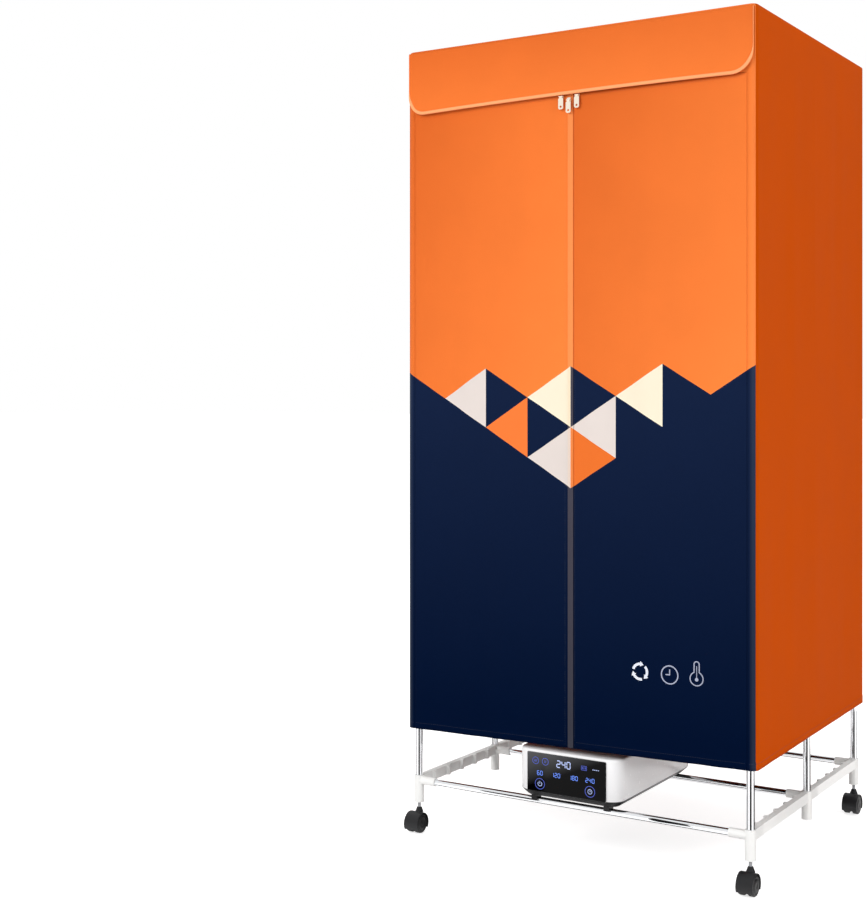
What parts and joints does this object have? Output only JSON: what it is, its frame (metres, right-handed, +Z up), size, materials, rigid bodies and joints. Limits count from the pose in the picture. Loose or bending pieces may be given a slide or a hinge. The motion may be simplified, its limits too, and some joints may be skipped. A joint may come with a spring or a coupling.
{
  "type": "portable clothes dryer",
  "caption": "Fabric drying cabinet on a chrome tube frame with twin-wheel casters, a zipped two-panel front under a storm flap, and a warm-air heater on its base rails.",
  "frame": {"origin": "middle of the footprint of the whole dryer, on the floor", "axes": "+Z up, -Y towards the front with the zips and the control panel, +X to the right seen from the front"},
  "size_m": [0.7, 0.6258, 1.5],
  "materials": {
    "chrome_tube": "polished chrome plate on thin steel tube",
    "bracket_white": "white moulded plastic, satin",
    "caster_hood": "dark grey moulded plastic",
    "caster_wheel": "dark grey moulded wheels",
    "orange_cloth": "plain orange polyester cloth",
    "printed_cloth": "polyester cloth printed orange above and navy below, with a band of triangles",
    "zip_tape": "light orange woven zip tape",
    "zip_metal": "nickel plate",
    "heater_white": "white moulded housing, glossy",
    "heater_black": "black moulded plastic, satin",
    "panel_black": "black glossy touch panel with blue lit digits",
    "circuit_board": "green circuit board",
    "heating_fins": "bare aluminium fins",
    "motor_steel": "zinc plated motor can",
    "fan_black": "black moulded fan"
  },
  "bodies": {
    "root": {"base_bracket_left": "bracket_white", "base_bracket_right": "bracket_white", "base_rail_front": "chrome_tube", "base_rail_middle": "chrome_tube", "base_rail_rear": "chrome_tube", "cover_shell": "orange_cloth", "lower_post_front_left": "chrome_tube", "lower_post_front_right": "chrome_tube", "lower_post_middle_left": "chrome_tube", "lower_post_middle_right": "chrome_tube", "lower_post_rear_left": "chrome_tube", "lower_post_rear_right": "chrome_tube", "mid_bracket_left": "bracket_white", "mid_bracket_right": "bracket_white", "mid_rail_front": "chrome_tube", "mid_rail_middle": "chrome_tube", "mid_rail_rear": "chrome_tube", "top_bracket_left": "bracket_white", "top_bracket_right": "bracket_white", "top_rail_front": "chrome_tube", "top_rail_middle": "chrome_tube", "top_rail_rear": "chrome_tube", "upper_post_front_left": "chrome_tube", "upper_post_front_right": "chrome_tube", "upper_post_middle_left": "chrome_tube", "upper_post_middle_right": "chrome_tube", "upper_post_rear_left": "chrome_tube", "upper_post_rear_right": "chrome_tube"},
    "heater": {"heater_base": "heater_black", "heater_body": "heater_white", "hood_grille": "heater_black", "hood_lid": "heater_black", "control_panel": "panel_black", "control_board": "circuit_board", "fan_motor": "motor_steel", "heating_element": "heating_fins", "air_duct": "heater_black", "power_inlet": "heater_black"},
    "fan": {"fan_impeller": "fan_black"},
    "flap": {"storm_flap": "orange_cloth"},
    "door_left": {"door_left": "printed_cloth", "centre_zip": "zip_tape"},
    "door_right": {"door_right": "printed_cloth"},
    "slider_left": {"zip_slider_left": "zip_metal"},
    "pull_left": {"zip_pull_left": "zip_metal"},
    "slider_centre": {"zip_slider_centre": "zip_metal"},
    "pull_centre": {"zip_pull_centre": "zip_metal"},
    "slider_right": {"zip_slider_right": "zip_metal"},
    "pull_right": {"zip_pull_right": "zip_metal"},
    "caster_front_left": {"caster_front_left_housing": "caster_hood"},
    "caster_front_left_wheels": {"caster_front_left_wheels": "caster_wheel"},
    "caster_front_right": {"caster_front_right_housing": "caster_hood"},
    "caster_front_right_wheels": {"caster_front_right_wheels": "caster_wheel"},
    "caster_rear_left": {"caster_rear_left_housing": "caster_hood"},
    "caster_rear_left_wheels": {"caster_rear_left_wheels": "caster_wheel"},
    "caster_rear_right": {"caster_rear_right_housing": "caster_hood"},
    "caster_rear_right_wheels": {"caster_rear_right_wheels": "caster_wheel"}
  },
  "joints": [
    {"name": "caster_front_left_swivel", "type": "hinge", "parent": "root", "child": "caster_front_left", "pos_m": [-0.334, -0.28106, 0.018], "axis": [0, 0, 1], "continuous": true},
    {"name": "caster_front_left_roll", "type": "hinge", "parent": "caster_front_left", "child": "caster_front_left_wheels", "pos_m": [-0.334, -0.29206, 0.018], "axis": [1, 0, 0], "continuous": true},
    {"name": "caster_front_right_swivel", "type": "hinge", "parent": "root", "child": "caster_front_right", "pos_m": [0.334, -0.28106, 0.018], "axis": [0, 0, 1], "continuous": true},
    {"name": "caster_front_right_roll", "type": "hinge", "parent": "caster_front_right", "child": "caster_front_right_wheels", "pos_m": [0.334, -0.29206, 0.018], "axis": [1, 0, 0], "continuous": true},
    {"name": "caster_rear_left_swivel", "type": "hinge", "parent": "root", "child": "caster_rear_left", "pos_m": [-0.334, 0.29694, 0.018], "axis": [0, 0, 1], "continuous": true},
    {"name": "caster_rear_left_roll", "type": "hinge", "parent": "caster_rear_left", "child": "caster_rear_left_wheels", "pos_m": [-0.334, 0.28594, 0.018], "axis": [1, 0, 0], "continuous": true},
    {"name": "caster_rear_right_swivel", "type": "hinge", "parent": "root", "child": "caster_rear_right", "pos_m": [0.334, 0.29694, 0.018], "axis": [0, 0, 1], "continuous": true},
    {"name": "caster_rear_right_roll", "type": "hinge", "parent": "caster_rear_right", "child": "caster_rear_right_wheels", "pos_m": [0.334, 0.28594, 0.018], "axis": [1, 0, 0], "continuous": true},
    {"name": "flap_lift", "type": "hinge", "parent": "root", "child": "flap", "pos_m": [0, -0.29736, 1.496], "axis": [-1, 0, 0], "range_deg": [0, 90]},
    {"name": "door_left_swing", "type": "hinge", "parent": "root", "child": "door_left", "pos_m": [-0.334, -0.29706, 0.209], "axis": [0, 0, -1], "range_deg": [0, 150]},
    {"name": "door_right_swing", "type": "hinge", "parent": "root", "child": "door_right", "pos_m": [0.334, -0.29706, 0.209], "axis": [0, 0, 1], "range_deg": [0, 150]},
    {"name": "zip_centre_slide", "type": "slide", "parent": "door_left", "child": "slider_centre", "axis": [0, 0, -1], "range_m": [0, 1.125]},
    {"name": "zip_left_slide", "type": "slide", "parent": "door_left", "child": "slider_left", "axis": [-1, 0, 0], "range_m": [0, 0.28]},
    {"name": "zip_right_slide", "type": "slide", "parent": "door_right", "child": "slider_right", "axis": [1, 0, 0], "range_m": [0, 0.28]},
    {"name": "pull_left_tilt", "type": "hinge", "parent": "slider_left", "child": "pull_left", "pos_m": [-0.016, -0.30136, 1.3799], "axis": [-1, 0, 0], "range_deg": [0, 90]},
    {"name": "pull_right_tilt", "type": "hinge", "parent": "slider_right", "child": "pull_right", "pos_m": [0.016, -0.30136, 1.3799], "axis": [-1, 0, 0], "range_deg": [0, 90]},
    {"name": "pull_centre_tilt", "type": "hinge", "parent": "slider_centre", "child": "pull_centre", "pos_m": [0, -0.30286, 1.3719], "axis": [-1, 0, 0], "range_deg": [0, 90]},
    {"name": "heater_lift", "type": "slide", "parent": "root", "child": "heater", "axis": [0, 0, 1], "range_m": [0, 0.008]},
    {"name": "fan_spin", "type": "hinge", "parent": "heater", "child": "fan", "pos_m": [-0.004, -0.04506, 0.14009], "axis": [0, 0, 1], "continuous": true}
  ]
}
